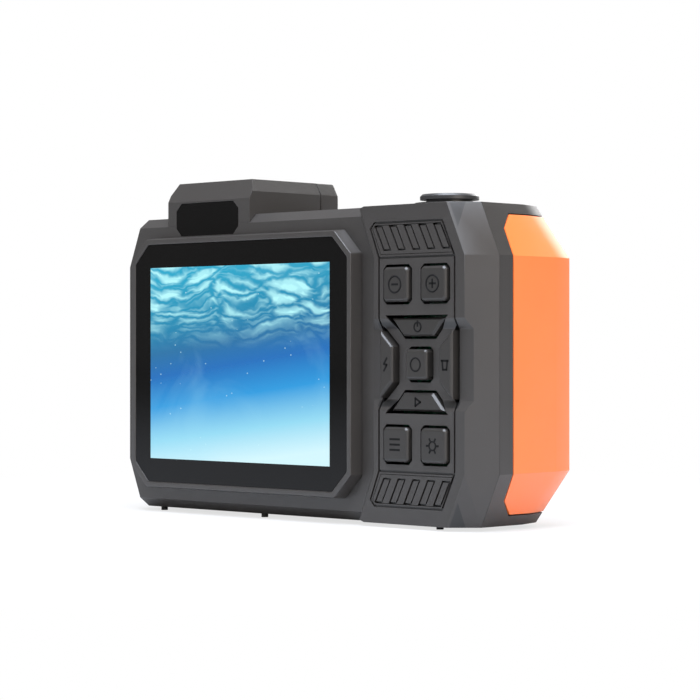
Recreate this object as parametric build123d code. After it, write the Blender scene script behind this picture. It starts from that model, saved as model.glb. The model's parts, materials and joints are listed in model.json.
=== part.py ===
"""Compact action camera with a rear screen, a side grip, a keypad and a lamp housing on top.

Frame: +Z up, the lens looks along -Y, the screen faces +Y, and the grip is on the -X side.
Origin: on the standing surface, under the middle of the camera. All lengths are in millimetres.
"""

import os
from math import atan2

from build123d import *

os.makedirs("parts", exist_ok=True)

# ---- driving dimensions -------------------------------------------------------------------
HALF_WIDTH = 55.75  # from the middle to either side face
BASE_Z = 0.8  # underside of the housing, on its feet
TOP_Z = 66.8
MID_Z = (BASE_Z + TOP_Z) / 2
HALF_HEIGHT = (TOP_Z - BASE_Z) / 2
SHOULDER = 22.1  # above and below the middle, where the sides start to slant inwards
FRONT_Y = -15.5
SPLIT_Y = 4.0  # joint between the front and rear shells
BODY_REAR_Y = 14.5  # rear face around the screen
WALL = 1.6
EDGE_BEVEL = 2.0
SEAM_X = -24.25  # where the screen body meets the grip
SEAM_SLANT = 4.4  # how far the seam leans towards the screen at the top and base

PANEL_RISE = 1.3  # the grip panel stands this proud of the screen body, and the waist is as deep
PANEL_Y = BODY_REAR_Y + PANEL_RISE
PANEL_EDGE_X = -50.75
GRIP_BEVEL = 5.0
GRIP_SLANT = 4.9
GRIP_FRONT_SET = 5.0  # how far the grip's nose leans back at the top and base
FLANGE = 2.1
KEY_X = -37.55
GROOVE = 0.45  # width of the fine line around the keypad insert
KEY_GAP = 0.55

SCREEN_X = 14.65
GLASS_W, GLASS_H = 67.8, 53.7
GLASS_Y = 17.5
GLASS_CUT = 4.4
RIM = 1.25
LCD_W, LCD_H = 57.6, 43.2

LAMP_X, LAMP_W = 27.3, 27.1
LAMP_TOP_Z = 74.6
LAMP_SEAM_Y = -7.5
LAMP_FRONT_Y = -14.0

WINDOW_X, WINDOW_Z = 27.7, 66.2  # dark window in the lamp housing's rear face
WINDOW_W, WINDOW_H, WINDOW_CUT = 20.5, 7.3, 1.7

LENS_X, LENS_Z = 27.3, 36.0
SHUTTER_X, SHUTTER_Y = -34.7, 2.5

CASE_SCREWS = [(51.5, 13.0), (51.5, 54.6), (-19.0, 8.0), (-19.0, 59.6)]  # (x, z)
MIC_X, MIC_Z = 3.0, 36.0
TRIPOD_X, TRIPOD_Y = 4.0, -1.5
TRIPOD_BORE = 2.55  # tapping size of a 1/4-20 UNC thread

# The grip's door: its edge on the side face, its inner front edge, and its hinge axis.
DOOR_EDGE_Y = 6.7
DOOR_WALL = 1.7
DOOR_GAP = 0.25
HINGE_X, HINGE_Y = -31.0, -13.75
BARREL = 1.6
PIN_RADIUS, PIN_BORE = 0.70, 0.75
BULKHEAD_X = HINGE_X + 2.15
DOOR_INNER_X = HINGE_X + 1.15
KNUCKLE_IN, KNUCKLE_OUT = 12.0, 20.0  # the door's knuckles, above and below the middle


# ---- helpers ------------------------------------------------------------------------------
def export(name, shape):
    """Writes one node, as its solids."""
    solids = ShapeList(shape.solids())
    export_step(solids[0] if len(solids) == 1 else Compound(children=list(solids)), f"parts/{name}.step")


def block(x0, x1, y0, y1, z0, z1):
    return Pos((x0 + x1) / 2, (y0 + y1) / 2, (z0 + z1) / 2) * Box(abs(x1 - x0), abs(y1 - y0), abs(z1 - z0))


def rod_y(x, z, radius, y0, y1):
    """A round bar along Y."""
    return Pos(x, (y0 + y1) / 2, z) * Rot(90, 0, 0) * Cylinder(radius, abs(y1 - y0))


def rod_z(x, y, radius, z0, z1):
    """A round bar along Z."""
    return Pos(x, y, (z0 + z1) / 2) * Cylinder(radius, abs(z1 - z0))


def ring_y(x, z, outer, inner, y0, y1):
    return rod_y(x, z, outer, y0, y1) - rod_y(x, z, inner, y0 - 1, y1 + 1)


def inset(points, amount):
    """Moves each edge of a convex outline inwards; the outline may turn either way."""
    area = sum(a[0] * b[1] - b[0] * a[1] for a, b in zip(points, points[1:] + points[:1]))
    side = 1 if area > 0 else -1
    lines = []
    for a, b in zip(points, points[1:] + points[:1]):
        dx, dy = b[0] - a[0], b[1] - a[1]
        length = (dx * dx + dy * dy) ** 0.5
        nx, ny = -dy / length * side, dx / length * side
        lines.append((nx, ny, nx * a[0] + ny * a[1] + amount))
    moved = []
    for (a, b, c), (d, e, f) in zip(lines[-1:] + lines[:-1], lines):
        det = a * e - b * d
        moved.append(((c * e - b * f) / det, (a * f - c * d) / det))
    return moved


def section(points, z):
    """A flat face from an XY outline at one height."""
    return make_face(Polyline(*[(x, y, z) for x, y in points], close=True))


def stack(outline, levels, amount=0.0):
    """A faceted solid through the outlines at the given heights above and below the middle."""
    faces = [section(inset(outline(abs(level)), amount), MID_Z + level) for level in levels]
    return loft(faces, ruled=True)


def plate_y(points, y0, y1):
    """A plate between two Y planes, from an outline of (x, z) points."""
    face = make_face(Polyline(*[(x, y0, z) for x, z in points], close=True))
    return extrude(face, amount=y1 - y0, dir=(0, 1, 0))


def plate_x(points, x0, x1):
    """A plate between two X planes, from an outline of (y, z) points."""
    face = make_face(Polyline(*[(x0, y, z) for y, z in points], close=True))
    return extrude(face, amount=x1 - x0, dir=(1, 0, 0))


def cut_corner_box(x, z, width, height, cut):
    """The outline of a rectangle with its four corners cut off."""
    w, h = width / 2, height / 2
    corners = [(w, -h + cut), (w, h - cut), (w - cut, h), (-w + cut, h)]
    corners += [(-w, h - cut), (-w, -h + cut), (-w + cut, -h), (w - cut, -h)]
    return [(x + a, z + b) for a, b in corners]


def lean(level):
    """0 up to the shoulder, then growing to 1 at the top or base."""
    return max(0.0, (level - SHOULDER) / (HALF_HEIGHT - SHOULDER))


def body_outline(level):
    """Level section of the screen body, from the seam round the rear, the side and the front."""
    seam = SEAM_X + SEAM_SLANT * lean(level)
    side = HALF_WIDTH - SEAM_SLANT * lean(level)
    trim = EDGE_BEVEL * max(0.0, (level - (HALF_HEIGHT - EDGE_BEVEL)) / EDGE_BEVEL)
    rear, front = BODY_REAR_Y - trim, FRONT_Y + trim
    return [
        (seam, rear),
        (side - 1.5, rear),
        (side, rear - 1.5),
        (side, front + 3),
        (side - 3, front),
        (seam, front),
    ]


def body_front_outline():
    """The screen body's outline as seen from the front, as (x, z) points."""
    seam_end, side_end = SEAM_X + SEAM_SLANT, HALF_WIDTH - SEAM_SLANT
    quarter = [(HALF_WIDTH, SHOULDER), (side_end, HALF_HEIGHT), (seam_end, HALF_HEIGHT), (SEAM_X, SHOULDER)]
    upper = [(x, MID_Z + z) for x, z in quarter]
    return upper + [(x, MID_Z - z) for x, z in reversed(quarter)]


def grip_outline(level):
    """Level section of the whole grip, its rear panel and its side door included."""
    seam = SEAM_X + SEAM_SLANT * lean(level)
    out = GRIP_SLANT * lean(level)
    back = GRIP_FRONT_SET * lean(level)
    return [
        (seam, BODY_REAR_Y),
        (seam - PANEL_RISE, PANEL_Y),
        (PANEL_EDGE_X + out, PANEL_Y),
        (PANEL_EDGE_X - GRIP_BEVEL + out, PANEL_Y - GRIP_BEVEL),
        (-HALF_WIDTH + out, -7.0 + back),
        (-HALF_WIDTH + 2.1 + out, -13.8 + back),
        (-HALF_WIDTH + 3.8 + out, FRONT_Y + back),
        (seam, FRONT_Y + back),
    ]


def flip(z, sign):
    """A height, or its mirror image below the middle where sign is -1."""
    return MID_Z + sign * (z - MID_Z)


def both_ways(*heights):
    """Section heights, mirrored below the middle."""
    return [-h for h in reversed(heights)] + list(heights)


# ---- screen body --------------------------------------------------------------------------
def make_screen_body():
    levels = both_ways(SHOULDER, HALF_HEIGHT - EDGE_BEVEL, HALF_HEIGHT)
    outer = stack(body_outline, levels)
    inner = stack(body_outline, both_ways(SHOULDER, HALF_HEIGHT - WALL - 0.6), WALL)
    shell = outer - inner
    front = shell & block(-60, 80, FRONT_Y - 1, SPLIT_Y, -1, 80)
    rear = shell & block(-60, 80, SPLIT_Y, 30, -1, 80)

    # Rear: an opening behind the screen, and a floor for the lamp housing's foot.
    rear -= block(SCREEN_X - 31.5, SCREEN_X + 31.5, 12, 20, MID_Z - 24.5, MID_Z + 24.5)
    for x, z in CASE_SCREWS:
        rear += rod_y(x, z, 2.4, SPLIT_Y, BODY_REAR_Y - 0.5) - rod_y(x, z, 0.8, SPLIT_Y - 1, 11)
        front += rod_y(x, z, 2.4, FRONT_Y + 0.5, SPLIT_Y) - rod_y(x, z, 1.05, FRONT_Y - 1, SPLIT_Y + 1)
        front -= rod_y(x, z, 1.95, FRONT_Y - 1, FRONT_Y + 1.9)
    rear = rear & outer
    front = front & outer

    front -= rod_y(LENS_X, LENS_Z, 15.2, FRONT_Y - 1, FRONT_Y + 4)
    front -= rod_y(MIC_X, MIC_Z, 0.6, FRONT_Y - 1, FRONT_Y + 3)
    front -= rod_z(TRIPOD_X, TRIPOD_Y, 4.5, 0, 6)
    front -= block(0.5, 0.5 + 5.2, FRONT_Y - 1, FRONT_Y + 3, 54.0, 54.0 + 3.2)
    pocket = cut_corner_box(WINDOW_X, WINDOW_Z, WINDOW_W + 0.1, WINDOW_H + 0.1, WINDOW_CUT)
    rear -= plate_y(pocket, BODY_REAR_Y - 0.9, BODY_REAR_Y + 1)
    export("front_shell", front)
    export("rear_shell", rear)

    gasket = plate_y(inset(body_front_outline(), WALL + 0.75), SPLIT_Y - 0.6, SPLIT_Y + 0.6)
    gasket -= plate_y(inset(body_front_outline(), WALL + 1.9), SPLIT_Y - 2, SPLIT_Y + 2)
    for x, z in CASE_SCREWS:
        gasket -= rod_y(x, z, 2.6, 0, 8)
    export("case_gasket", gasket)

    screws = [
        rod_y(x, z, 1.0, FRONT_Y + 1.9, 2.5) + rod_y(x, z, 1.8, FRONT_Y + 0.5, FRONT_Y + 1.9)
        - block(x - 1.1, x + 1.1, FRONT_Y, FRONT_Y + 1.1, z - 0.25, z + 0.25)
        - block(x - 0.25, x + 0.25, FRONT_Y, FRONT_Y + 1.1, z - 1.1, z + 1.1)
        for x, z in CASE_SCREWS
    ]
    export("case_screws", Compound(children=screws))


# ---- screen -------------------------------------------------------------------------------
def make_screen():
    outer = cut_corner_box(SCREEN_X, MID_Z, GLASS_W + 2 * RIM, GLASS_H + 2 * RIM, GLASS_CUT + 0.5)
    width, height = GLASS_W + 2 * RIM + 0.8, GLASS_H + 2 * RIM + 0.8
    base = cut_corner_box(SCREEN_X, MID_Z, width, height, GLASS_CUT + 0.7)
    faces = [
        make_face(Polyline(*[(x, BODY_REAR_Y, z) for x, z in base], close=True)),
        make_face(Polyline(*[(x, GLASS_Y + 0.2, z) for x, z in outer], close=True)),
    ]
    glass = cut_corner_box(SCREEN_X, MID_Z, GLASS_W, GLASS_H, GLASS_CUT)
    bezel = loft(faces, ruled=True)
    seat = cut_corner_box(SCREEN_X, MID_Z, GLASS_W + 0.1, GLASS_H + 0.1, GLASS_CUT)
    bezel -= plate_y(seat, GLASS_Y - 1.2, GLASS_Y + 1)
    bezel -= block(SCREEN_X - 31.5, SCREEN_X + 31.5, 12, 20, MID_Z - 24.5, MID_Z + 24.5)
    export("screen_bezel", bezel)
    export("screen_glass", plate_y(glass, GLASS_Y - 1.15, GLASS_Y))
    w, h = LCD_W / 2 + 1.8, LCD_H / 2 + 1.8
    export("lcd_panel", block(SCREEN_X - w, SCREEN_X + w, 13.2, 16.2, MID_Z - h, MID_Z + h))
    export("lcd_backing", block(SCREEN_X - w, SCREEN_X + w, 12.4, 13.1, MID_Z - h, MID_Z + h))


# ---- lamp housing -------------------------------------------------------------------------
def lamp_block(amount, y_front, y_rear, z_low):
    """The housing on top: a bar with cut upper edges, and its rear face leaning forward near the top."""
    w = LAMP_W / 2 - amount
    top = LAMP_TOP_Z - amount
    profile = [(-w, z_low), (w, z_low), (w, top - 2.75), (w - 1.5, top), (-w + 1.5, top), (-w, top - 2.75)]
    bar = plate_y([(LAMP_X + x, z) for x, z in profile], y_front, y_rear)
    bend = LAMP_TOP_Z - 4.3
    wedge = [(BODY_REAR_Y - amount, bend), (BODY_REAR_Y - amount - 2.2, LAMP_TOP_Z), (30, 85), (30, bend)]
    return bar - plate_x(wedge, LAMP_X - 30, LAMP_X + 30)


def make_lamp_housing():
    rest_z = TOP_Z + 0.02
    housing = lamp_block(0, LAMP_SEAM_Y, BODY_REAR_Y, rest_z)
    # The foot fills the bevel at the rear of the body, so the rear faces run on as one.
    w = LAMP_W / 2
    foot = [
        (BODY_REAR_Y, TOP_Z - EDGE_BEVEL + 0.03),
        (BODY_REAR_Y - EDGE_BEVEL + 0.03, rest_z),
        (BODY_REAR_Y, rest_z),
    ]
    housing += plate_x(foot, LAMP_X - w, LAMP_X + w)
    cavity = lamp_block(WALL, LAMP_SEAM_Y - 1, BODY_REAR_Y - WALL, rest_z + 1.2)
    housing -= cavity
    pocket = cut_corner_box(WINDOW_X, WINDOW_Z, WINDOW_W + 0.1, WINDOW_H + 0.1, WINDOW_CUT)
    housing -= plate_y(pocket, BODY_REAR_Y - 0.9, BODY_REAR_Y + 1)
    export("lamp_housing", housing)

    window = cut_corner_box(WINDOW_X, WINDOW_Z, WINDOW_W, WINDOW_H, WINDOW_CUT)
    export("lamp_rear_window", plate_y(window, BODY_REAR_Y - 0.85, BODY_REAR_Y - 0.05))

    cap = lamp_block(0, LAMP_FRONT_Y, LAMP_SEAM_Y - 0.25, rest_z)
    front_edges = cap.faces().sort_by(Axis.Y)[0].edges()
    cap = chamfer(front_edges, 0.9)
    left, right = LAMP_X - 10.2, LAMP_X + 10.2
    cap -= block(left, right, LAMP_FRONT_Y - 1, LAMP_SEAM_Y + 1, TOP_Z + 1.3, LAMP_TOP_Z - 1.5)
    export("lamp_front_cap", cap)
    z0, z1 = TOP_Z + 1.35, LAMP_TOP_Z - 1.55
    left, right = LAMP_X - 10.15, LAMP_X + 10.15
    export("lamp_lens", block(left, right, LAMP_FRONT_Y + 0.3, LAMP_FRONT_Y + 1.5, z0, z1))
    left, right = LAMP_X - 10.1, LAMP_X + 10.1
    reflector = block(left, right, LAMP_FRONT_Y + 1.6, LAMP_SEAM_Y - 0.4, z0 + 0.05, z1 - 0.05)
    for x in (-6.6, 0.0, 6.6):
        cup = Rot(90, 0, 0) * Cone(1.1, 2.6, 5.0)
        reflector -= Pos(LAMP_X + x, LAMP_FRONT_Y + 3.9, (z0 + z1) / 2) * cup
    export("lamp_reflector", reflector)
    left, right = LAMP_X - 10, LAMP_X + 10
    export("lamp_board", block(left, right, LAMP_SEAM_Y - 0.3, LAMP_SEAM_Y + 0.7, z0 + 0.1, z1 - 0.1))


# ---- grip ---------------------------------------------------------------------------------
def grip_outer():
    """The whole grip with the waist for the thumb cut across its rear."""
    body = stack(grip_outline, both_ways(SHOULDER, HALF_HEIGHT))
    half, ramp = 7.25, 2.2
    for_waist = [
        (PANEL_Y + 5, MID_Z - half - ramp * 4.85),
        (PANEL_Y - PANEL_RISE, MID_Z - half),
        (PANEL_Y - PANEL_RISE, MID_Z + half),
        (PANEL_Y + 5, MID_Z + half + ramp * 4.85),
    ]
    body -= plate_x(for_waist, -80, 0)
    # The rear panel's corners beside the screen are cut off at the top and base.
    end_x = SEAM_X + SEAM_SLANT
    for sign in (1, -1):
        tip = [
            (end_x + 2, 30.4),
            (end_x - 0.55, 31.9),
            (end_x - 1.3, 32.55),
            (end_x - 2.6, 33.0),
            (end_x + 2, 34.5),
        ]
        corner = [(x, MID_Z + sign * z) for x, z in tip]
        body -= plate_y(corner, PANEL_Y - GRIP_BEVEL, 30)
    return body


def insert_outline():
    """Outline of the keypad insert on the rear panel, with slanted ends and cut corners."""
    left, right, drift = -26.75, -48.3, 3.5
    quarter = [
        (right, SHOULDER),
        (right + drift, 29.6),
        (-29.0 + drift, 29.6),
        (left + 2.5, 28.2),
        (left, SHOULDER),
    ]
    return [(x, MID_Z + z) for x, z in quarter] + [(x, MID_Z - z) for x, z in reversed(quarter)]


def grip_inner():
    return stack(grip_outline, both_ways(SHOULDER, HALF_HEIGHT - FLANGE), WALL + PANEL_RISE * 0.25)


def door_zone(gap=0.0):
    """The space of the side door: between the flanges, in front of a notched edge on the side face."""
    top = HALF_HEIGHT - FLANGE - gap
    edge = DOOR_EDGE_Y - gap
    profile = [
        (-40, MID_Z - top),
        (edge - 3.2, MID_Z - top),
        (edge - 0.1, MID_Z - 27.7),
        (edge, MID_Z - SHOULDER),
    ]
    profile += [(y, 2 * MID_Z - z) for y, z in reversed(profile)]
    return plate_x(profile, -80, DOOR_INNER_X - gap if gap else BULKHEAD_X)


def key_outlines():
    """Each key's outline on the panel, as (x, z) points."""
    half = 3.5
    keys = {}
    corners = {
        "zoom_tele": (-5.25, 16.5),
        "zoom_wide": (5.25, 16.5),
        "settings": (-5.25, -16.5),
        "mode": (5.25, -16.5),
    }
    for name, (x, z) in corners.items():
        keys[name] = cut_corner_box(KEY_X + x, MID_Z + z, 2 * half, 2 * half + 0.2, 0.6)
    keys["ok"] = cut_corner_box(KEY_X, MID_Z, 6.0, 6.3, 0.5)
    up = [(-7.5, 9.6), (-4.1, 5.8), (4.1, 5.8), (7.5, 9.6)]
    keys["up"] = [(KEY_X + x, MID_Z + z) for x, z in up]
    keys["down"] = [(KEY_X + x, MID_Z - z) for x, z in reversed(up)]
    side = [(10.5, 7.1), (6.9, 3.7), (6.9, -3.7), (10.5, -7.1)]
    keys["left"] = [(KEY_X + x - 0.4, MID_Z + z) for x, z in side]
    keys["right"] = [(KEY_X - x + 0.4, MID_Z + z) for x, z in reversed(side)]
    return keys


def make_grip():
    outer = grip_outer()
    inner = grip_inner()
    rear_part = block(-80, 20, PANEL_Y - GRIP_BEVEL, 40, -5, 85)
    panel = (outer - inner) & rear_part

    keys = key_outlines()
    panel = panel + (outer & block(-49.5, -25.9, 12.2, 20, MID_Z - 12, MID_Z + 12))
    for outline in keys.values():
        panel -= plate_y(inset(outline, -KEY_GAP), 8, 25)
    # A fine groove follows the surface around the insert and divides it above and below the keys.
    lines = plate_y(insert_outline(), 8, 20) - plate_y(inset(insert_outline(), GROOVE), 7, 21)
    for sign in (1, -1):
        z = MID_Z + sign * SHOULDER
        lines += block(-48.2, -26.9, 8, 20, z - GROOVE / 2, z + GROOVE / 2)
    panel -= lines - Pos(0, -0.45, 0) * outer
    # Pockets for the two grilles.
    upper = grille_outline()
    lower = [(x, 2 * MID_Z - z) for x, z in upper]
    for outline in (upper, lower):
        panel -= plate_y(outline, PANEL_Y - 1.0, PANEL_Y + 1)
    panel -= block(-42, -33, 8, 20, 60.2, 60.8)
    panel -= block(-42, -33, 8, 20, 6.8, 7.4)
    export("grip_panel", panel)

    for name, sign in (("upper_grille", 1), ("lower_grille", -1)):
        plate = plate_y([(x, flip(z, sign)) for x, z in inset(upper, 0.12)], PANEL_Y - 0.95, PANEL_Y - 0.02)
        for row in range(5):
            x = -28.2 - 4.12 * row
            slot = [(x, 57.3), (x - 2.3, 57.3), (x + 0.35, 62.6), (x + 2.65, 62.6)]
            rim = inset(slot, 0.36)
            groove = plate_y([(a, flip(b, sign)) for a, b in slot], PANEL_Y - 0.75, PANEL_Y + 1)
            tongue = plate_y([(a, flip(b, sign)) for a, b in rim], PANEL_Y - 0.75, PANEL_Y - 0.1)
            plate = plate - groove + tongue
        export(name, plate)

    # Side frame: the band behind the door's edge, both flanges and the bulkhead at the seam.
    frame = (outer - inner) & block(-80, 20, -40, PANEL_Y - GRIP_BEVEL - 0.02, -5, 85)
    frame -= door_zone()
    spine = outer & block(-80, 20, -40, PANEL_Y - GRIP_BEVEL - 0.02, -5, 85)
    lower_slice = block(-80, 20, -40, 40, -5, BASE_Z + FLANGE)
    upper_slice = block(-80, 20, -40, 40, TOP_Z - FLANGE, 85)
    flanges = spine & (lower_slice + upper_slice)
    frame += flanges
    frame += spine & block(BULKHEAD_X, BULKHEAD_X + 1.6, -40, 7.4, BASE_Z + FLANGE, TOP_Z - FLANGE)
    frame += block(-48.6, -28.0, 5.0, 6.2, BASE_Z + FLANGE, TOP_Z - FLANGE) & spine
    frame -= rod_z(SHUTTER_X, SHUTTER_Y, 6.0, TOP_Z - 4, TOP_Z + 2)
    ear = rod_z(HINGE_X, HINGE_Y, BARREL, MID_Z - KNUCKLE_IN + 0.15, MID_Z + KNUCKLE_IN - 0.15)
    ear += block(HINGE_X, BULKHEAD_X + 0.5, HINGE_Y - 1.1, HINGE_Y + 1.5, MID_Z - 11.85, MID_Z + 11.85)
    frame += ear
    frame -= rod_z(HINGE_X, HINGE_Y, PIN_BORE, MID_Z - 15, MID_Z + 15)
    export("side_frame", frame)

    # Door: a shell that wraps the side and the nose between the flanges, with two hinge knuckles.
    hollow = stack(grip_outline, both_ways(SHOULDER, HALF_HEIGHT), DOOR_WALL)
    door = (outer & door_zone(DOOR_GAP)) - hollow
    for low in (MID_Z - KNUCKLE_OUT, MID_Z + KNUCKLE_IN):
        door += rod_z(HINGE_X, HINGE_Y, BARREL, low, low + KNUCKLE_OUT - KNUCKLE_IN)
    door -= block(HINGE_X - 2.0, 0, -40, 0, MID_Z - KNUCKLE_IN, MID_Z + KNUCKLE_IN)
    door -= rod_z(HINGE_X, HINGE_Y, PIN_BORE, MID_Z - 21, MID_Z + 21)
    export("side_door", door)
    export("door_hinge_pin", rod_z(HINGE_X, HINGE_Y, PIN_RADIUS, MID_Z - KNUCKLE_OUT, MID_Z + KNUCKLE_OUT))


def sorted_ring(points):
    """The points in order around their middle."""
    cx = sum(x for x, _ in points) / len(points)
    cz = sum(z for _, z in points) / len(points)
    return sorted(points, key=lambda p: atan2(p[1] - cz, p[0] - cx))


def grille_outline():
    """Outline of the slotted grille in the top of the panel; the lower one mirrors it."""
    ends = [(x, z) for x, z in inset(insert_outline(), 0.7) if z > MID_Z]
    low_z = MID_Z + SHOULDER + 0.6
    return sorted_ring([(x, max(z, low_z)) for x, z in ends])


# ---- keys ---------------------------------------------------------------------------------
def make_keys():
    top = {"left": 1.8, "right": 1.8, "ok": 1.6}
    switches = []
    for name, outline in key_outlines().items():
        in_waist = name in ("ok", "left", "right")
        face = PANEL_Y - PANEL_RISE if in_waist else PANEL_Y
        proud = face + top.get(name, 0.9)
        if name in ("up", "down"):
            proud = PANEL_Y - 0.35
        cx = sum(x for x, _ in outline) / len(outline)
        cz = sum(z for _, z in outline) / len(outline)
        shrunk = inset(outline, 0.45)
        faces = [
            make_face(Polyline(*[(x, proud - 0.5, z) for x, z in outline], close=True)),
            make_face(Polyline(*[(x, proud, z) for x, z in shrunk], close=True)),
        ]
        cap = plate_y(outline, 11.3, proud - 0.5) + loft(faces, ruled=True)
        stem = rod_y(cx, cz, 1.1, 9.9, 11.4)
        export(f"key_{name}", cap + stem)
        switches.append(rod_y(cx, cz, 1.5, 8.61, 9.3))
    export("dome_switches", Compound(children=switches))
    export("key_board", block(-49.0, -27.2, 7.6, 8.6, 12.4, 55.2))


# ---- shutter button -----------------------------------------------------------------------
def make_shutter():
    x, y = SHUTTER_X, SHUTTER_Y
    collar = rod_z(x, y, 7.3, TOP_Z + 0.02, TOP_Z + 0.7) + rod_z(x, y, 5.9, TOP_Z - 2.0, TOP_Z + 0.7)
    collar -= rod_z(x, y, 5.2, TOP_Z - 5, TOP_Z + 5)
    collar -= rod_z(x, y, 6.55, TOP_Z + 0.3, TOP_Z + 5)
    export("shutter_collar", collar)
    # Half section of the button: stem, skirt and a dished cap, turned about its own axis.
    half = [(0, -3.2), (1.2, -3.2), (1.2, -2.2), (4.9, -2.2), (4.9, 1.35), (6.2, 1.35), (6.2, 2.05)]
    half += [(5.75, 2.5), (5.2, 2.55), (4.4, 2.4), (2.4, 2.22), (0, 2.15)]
    face = make_face(Polyline(*[(r, 0, z) for r, z in half], close=True))
    export("shutter_button", Pos(x, y, TOP_Z) * revolve(face, Axis.Z, 360))
    export("shutter_switch", block(x - 2.6, x + 2.6, y - 2.0, y + 2.0, TOP_Z - 5.8, TOP_Z - 4.3))
    export("shutter_board", block(x - 4.6, x + 4.6, y - 2.3, y + 2.3, TOP_Z - 6.9, TOP_Z - 5.85))


# ---- lens ---------------------------------------------------------------------------------
def make_lens():
    x, z = LENS_X, LENS_Z
    ring = ring_y(x, z, 15.0, 11.6, FRONT_Y - 2.2, FRONT_Y + 3.4)
    ring = chamfer(ring.faces().sort_by(Axis.Y)[0].edges(), 0.8)
    ring += ring_y(x, z, 13.0, 10.6, FRONT_Y + 0.6, FRONT_Y + 3.4)
    export("lens_ring", ring)
    export("lens_window", rod_y(x, z, 11.5, FRONT_Y - 1.2, FRONT_Y + 0.55))
    barrel = ring_y(x, z, 10.2, 7.2, FRONT_Y + 1.2, -4.5)
    barrel += ring_y(x, z, 12.5, 10.0, FRONT_Y + 3.5, FRONT_Y + 4.9)
    export("lens_barrel", barrel)
    front_glass = rod_y(x, z, 7.15, FRONT_Y + 1.5, FRONT_Y + 3.6)
    front_glass = front_glass & (Pos(x, FRONT_Y + 1.5 + 14.0, z) * Sphere(14.0))
    export("lens_element_front", front_glass)
    export("lens_element_rear", rod_y(x, z, 7.15, -9.0, -7.4) & (Pos(x, -19.4, z) * Sphere(12.4)))
    export("lens_iris", ring_y(x, z, 7.15, 2.4, -10.9, -10.5))
    holder = block(x - 9, x + 9, -4.4, -3.4, z - 9, z + 9)
    export("sensor_holder", holder - block(x - 4, x + 4, -6, 0, z - 3.2, z + 3.2))
    export("image_sensor", block(x - 3.9, x + 3.9, -4.3, -3.5, z - 3.1, z + 3.1))


# ---- electronics --------------------------------------------------------------------------
def make_electronics():
    board = block(-15.5, 47.5, 1.0, 2.2, 9.6, 58.6)
    board -= rod_y(LENS_X, LENS_Z, 3.0, 0, 3)
    export("main_board", board)
    chips = [
        block(6, 18, -0.4, 0.98, 24, 36),
        block(-9, 0, -0.1, 0.98, 40, 49),
        block(4, 12, -0.1, 0.98, 44, 52),
        block(-12, -4, -0.4, 0.98, 14, 20),
    ]
    export("board_chips", Compound(children=chips))
    tray = block(-50.9, -28.9, -6.0, 2.4, 13.0, 55.0) - block(-60, -30.0, -5.2, 1.6, 14.0, 54.0)
    export("battery_tray", tray)
    export("battery", block(-50.5, -31.2, -5.0, 1.4, 14.2, 53.8))
    seal = block(-52.3, -50.95, -6.0, 2.4, 13.0, 55.0) - block(-60, -30.0, -5.2, 1.6, 14.0, 54.0)
    export("door_seal", seal)
    contacts = [block(-31.15, -30.05, -3.4 + s, -1.6 + s, 26, 29) for s in (-1.6, 0.9, 3.4 - 1.0)]
    export("battery_contacts", Compound(children=contacts))
    socket = block(-50.0, -35.0, 2.7, 4.8, 34.0, 47.0)
    export("card_socket", socket - block(-52, -36.2, 3.2, 4.4, 35.0, 46.2))
    export("memory_card", block(-50.6, -36.4, 3.35, 4.25, 35.1, 46.1))
    usb = block(-50.0, -43.0, 2.5, 4.9, 17.0, 26.0) - block(-52, -43.6, 3.0, 4.4, 17.6, 25.4)
    usb += block(-49.4, -43.3, 3.5, 3.9, 18.4, 24.6)
    export("usb_socket", usb)
    export("speaker", rod_y(KEY_X, 8.0, 4.0, 8.0, 10.4))
    export("microphone", rod_y(MIC_X, MIC_Z, 1.9, FRONT_Y + WALL + 0.05, FRONT_Y + 3.2))
    export("front_indicator", block(0.55, 5.65, FRONT_Y - 0.1 + 0.2, FRONT_Y + 1.6, 54.05, 57.15))
    nut = rod_z(TRIPOD_X, TRIPOD_Y, 4.4, BASE_Z + 0.02, 9.0)
    nut -= rod_z(TRIPOD_X, TRIPOD_Y, TRIPOD_BORE, 0, 8.0)
    export("tripod_nut", nut)
    feet = [rod_z(fx, fy, 0.75, 0, BASE_Z - 0.01) for fx in (45.4, 11.9, -40.3) for fy in (11.6, -7.4)]
    export("feet", Compound(children=feet))


make_screen_body()
make_screen()
make_lamp_housing()
make_grip()
make_keys()
make_shutter()
make_lens()
make_electronics()
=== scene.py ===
# %% [markdown]
# # A compact action camera, finished in Blender
#
# The camera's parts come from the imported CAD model, already at their real size and place. This file
# gives them their finishes: moulded plastic with a fine grain, rubber keys, black glass, an orange cover
# and a lit screen.

import json
import math

import bmesh
import bpy
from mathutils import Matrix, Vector


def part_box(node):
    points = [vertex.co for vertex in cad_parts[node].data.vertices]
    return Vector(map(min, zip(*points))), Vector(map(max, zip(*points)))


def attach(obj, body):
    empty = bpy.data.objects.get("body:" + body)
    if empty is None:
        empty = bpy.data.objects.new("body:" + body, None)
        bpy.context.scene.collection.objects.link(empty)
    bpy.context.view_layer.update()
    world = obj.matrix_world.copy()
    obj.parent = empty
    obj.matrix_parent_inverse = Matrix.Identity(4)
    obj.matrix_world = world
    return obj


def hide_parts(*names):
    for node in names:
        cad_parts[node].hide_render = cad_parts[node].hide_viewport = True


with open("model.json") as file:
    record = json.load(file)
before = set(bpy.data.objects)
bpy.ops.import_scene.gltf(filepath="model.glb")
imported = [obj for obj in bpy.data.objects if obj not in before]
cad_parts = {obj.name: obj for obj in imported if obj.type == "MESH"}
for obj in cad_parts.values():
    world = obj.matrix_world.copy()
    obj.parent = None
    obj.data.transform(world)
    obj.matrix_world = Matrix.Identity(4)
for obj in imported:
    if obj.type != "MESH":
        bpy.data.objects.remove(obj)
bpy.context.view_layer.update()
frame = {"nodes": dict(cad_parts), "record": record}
NODES = frame["nodes"]
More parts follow.
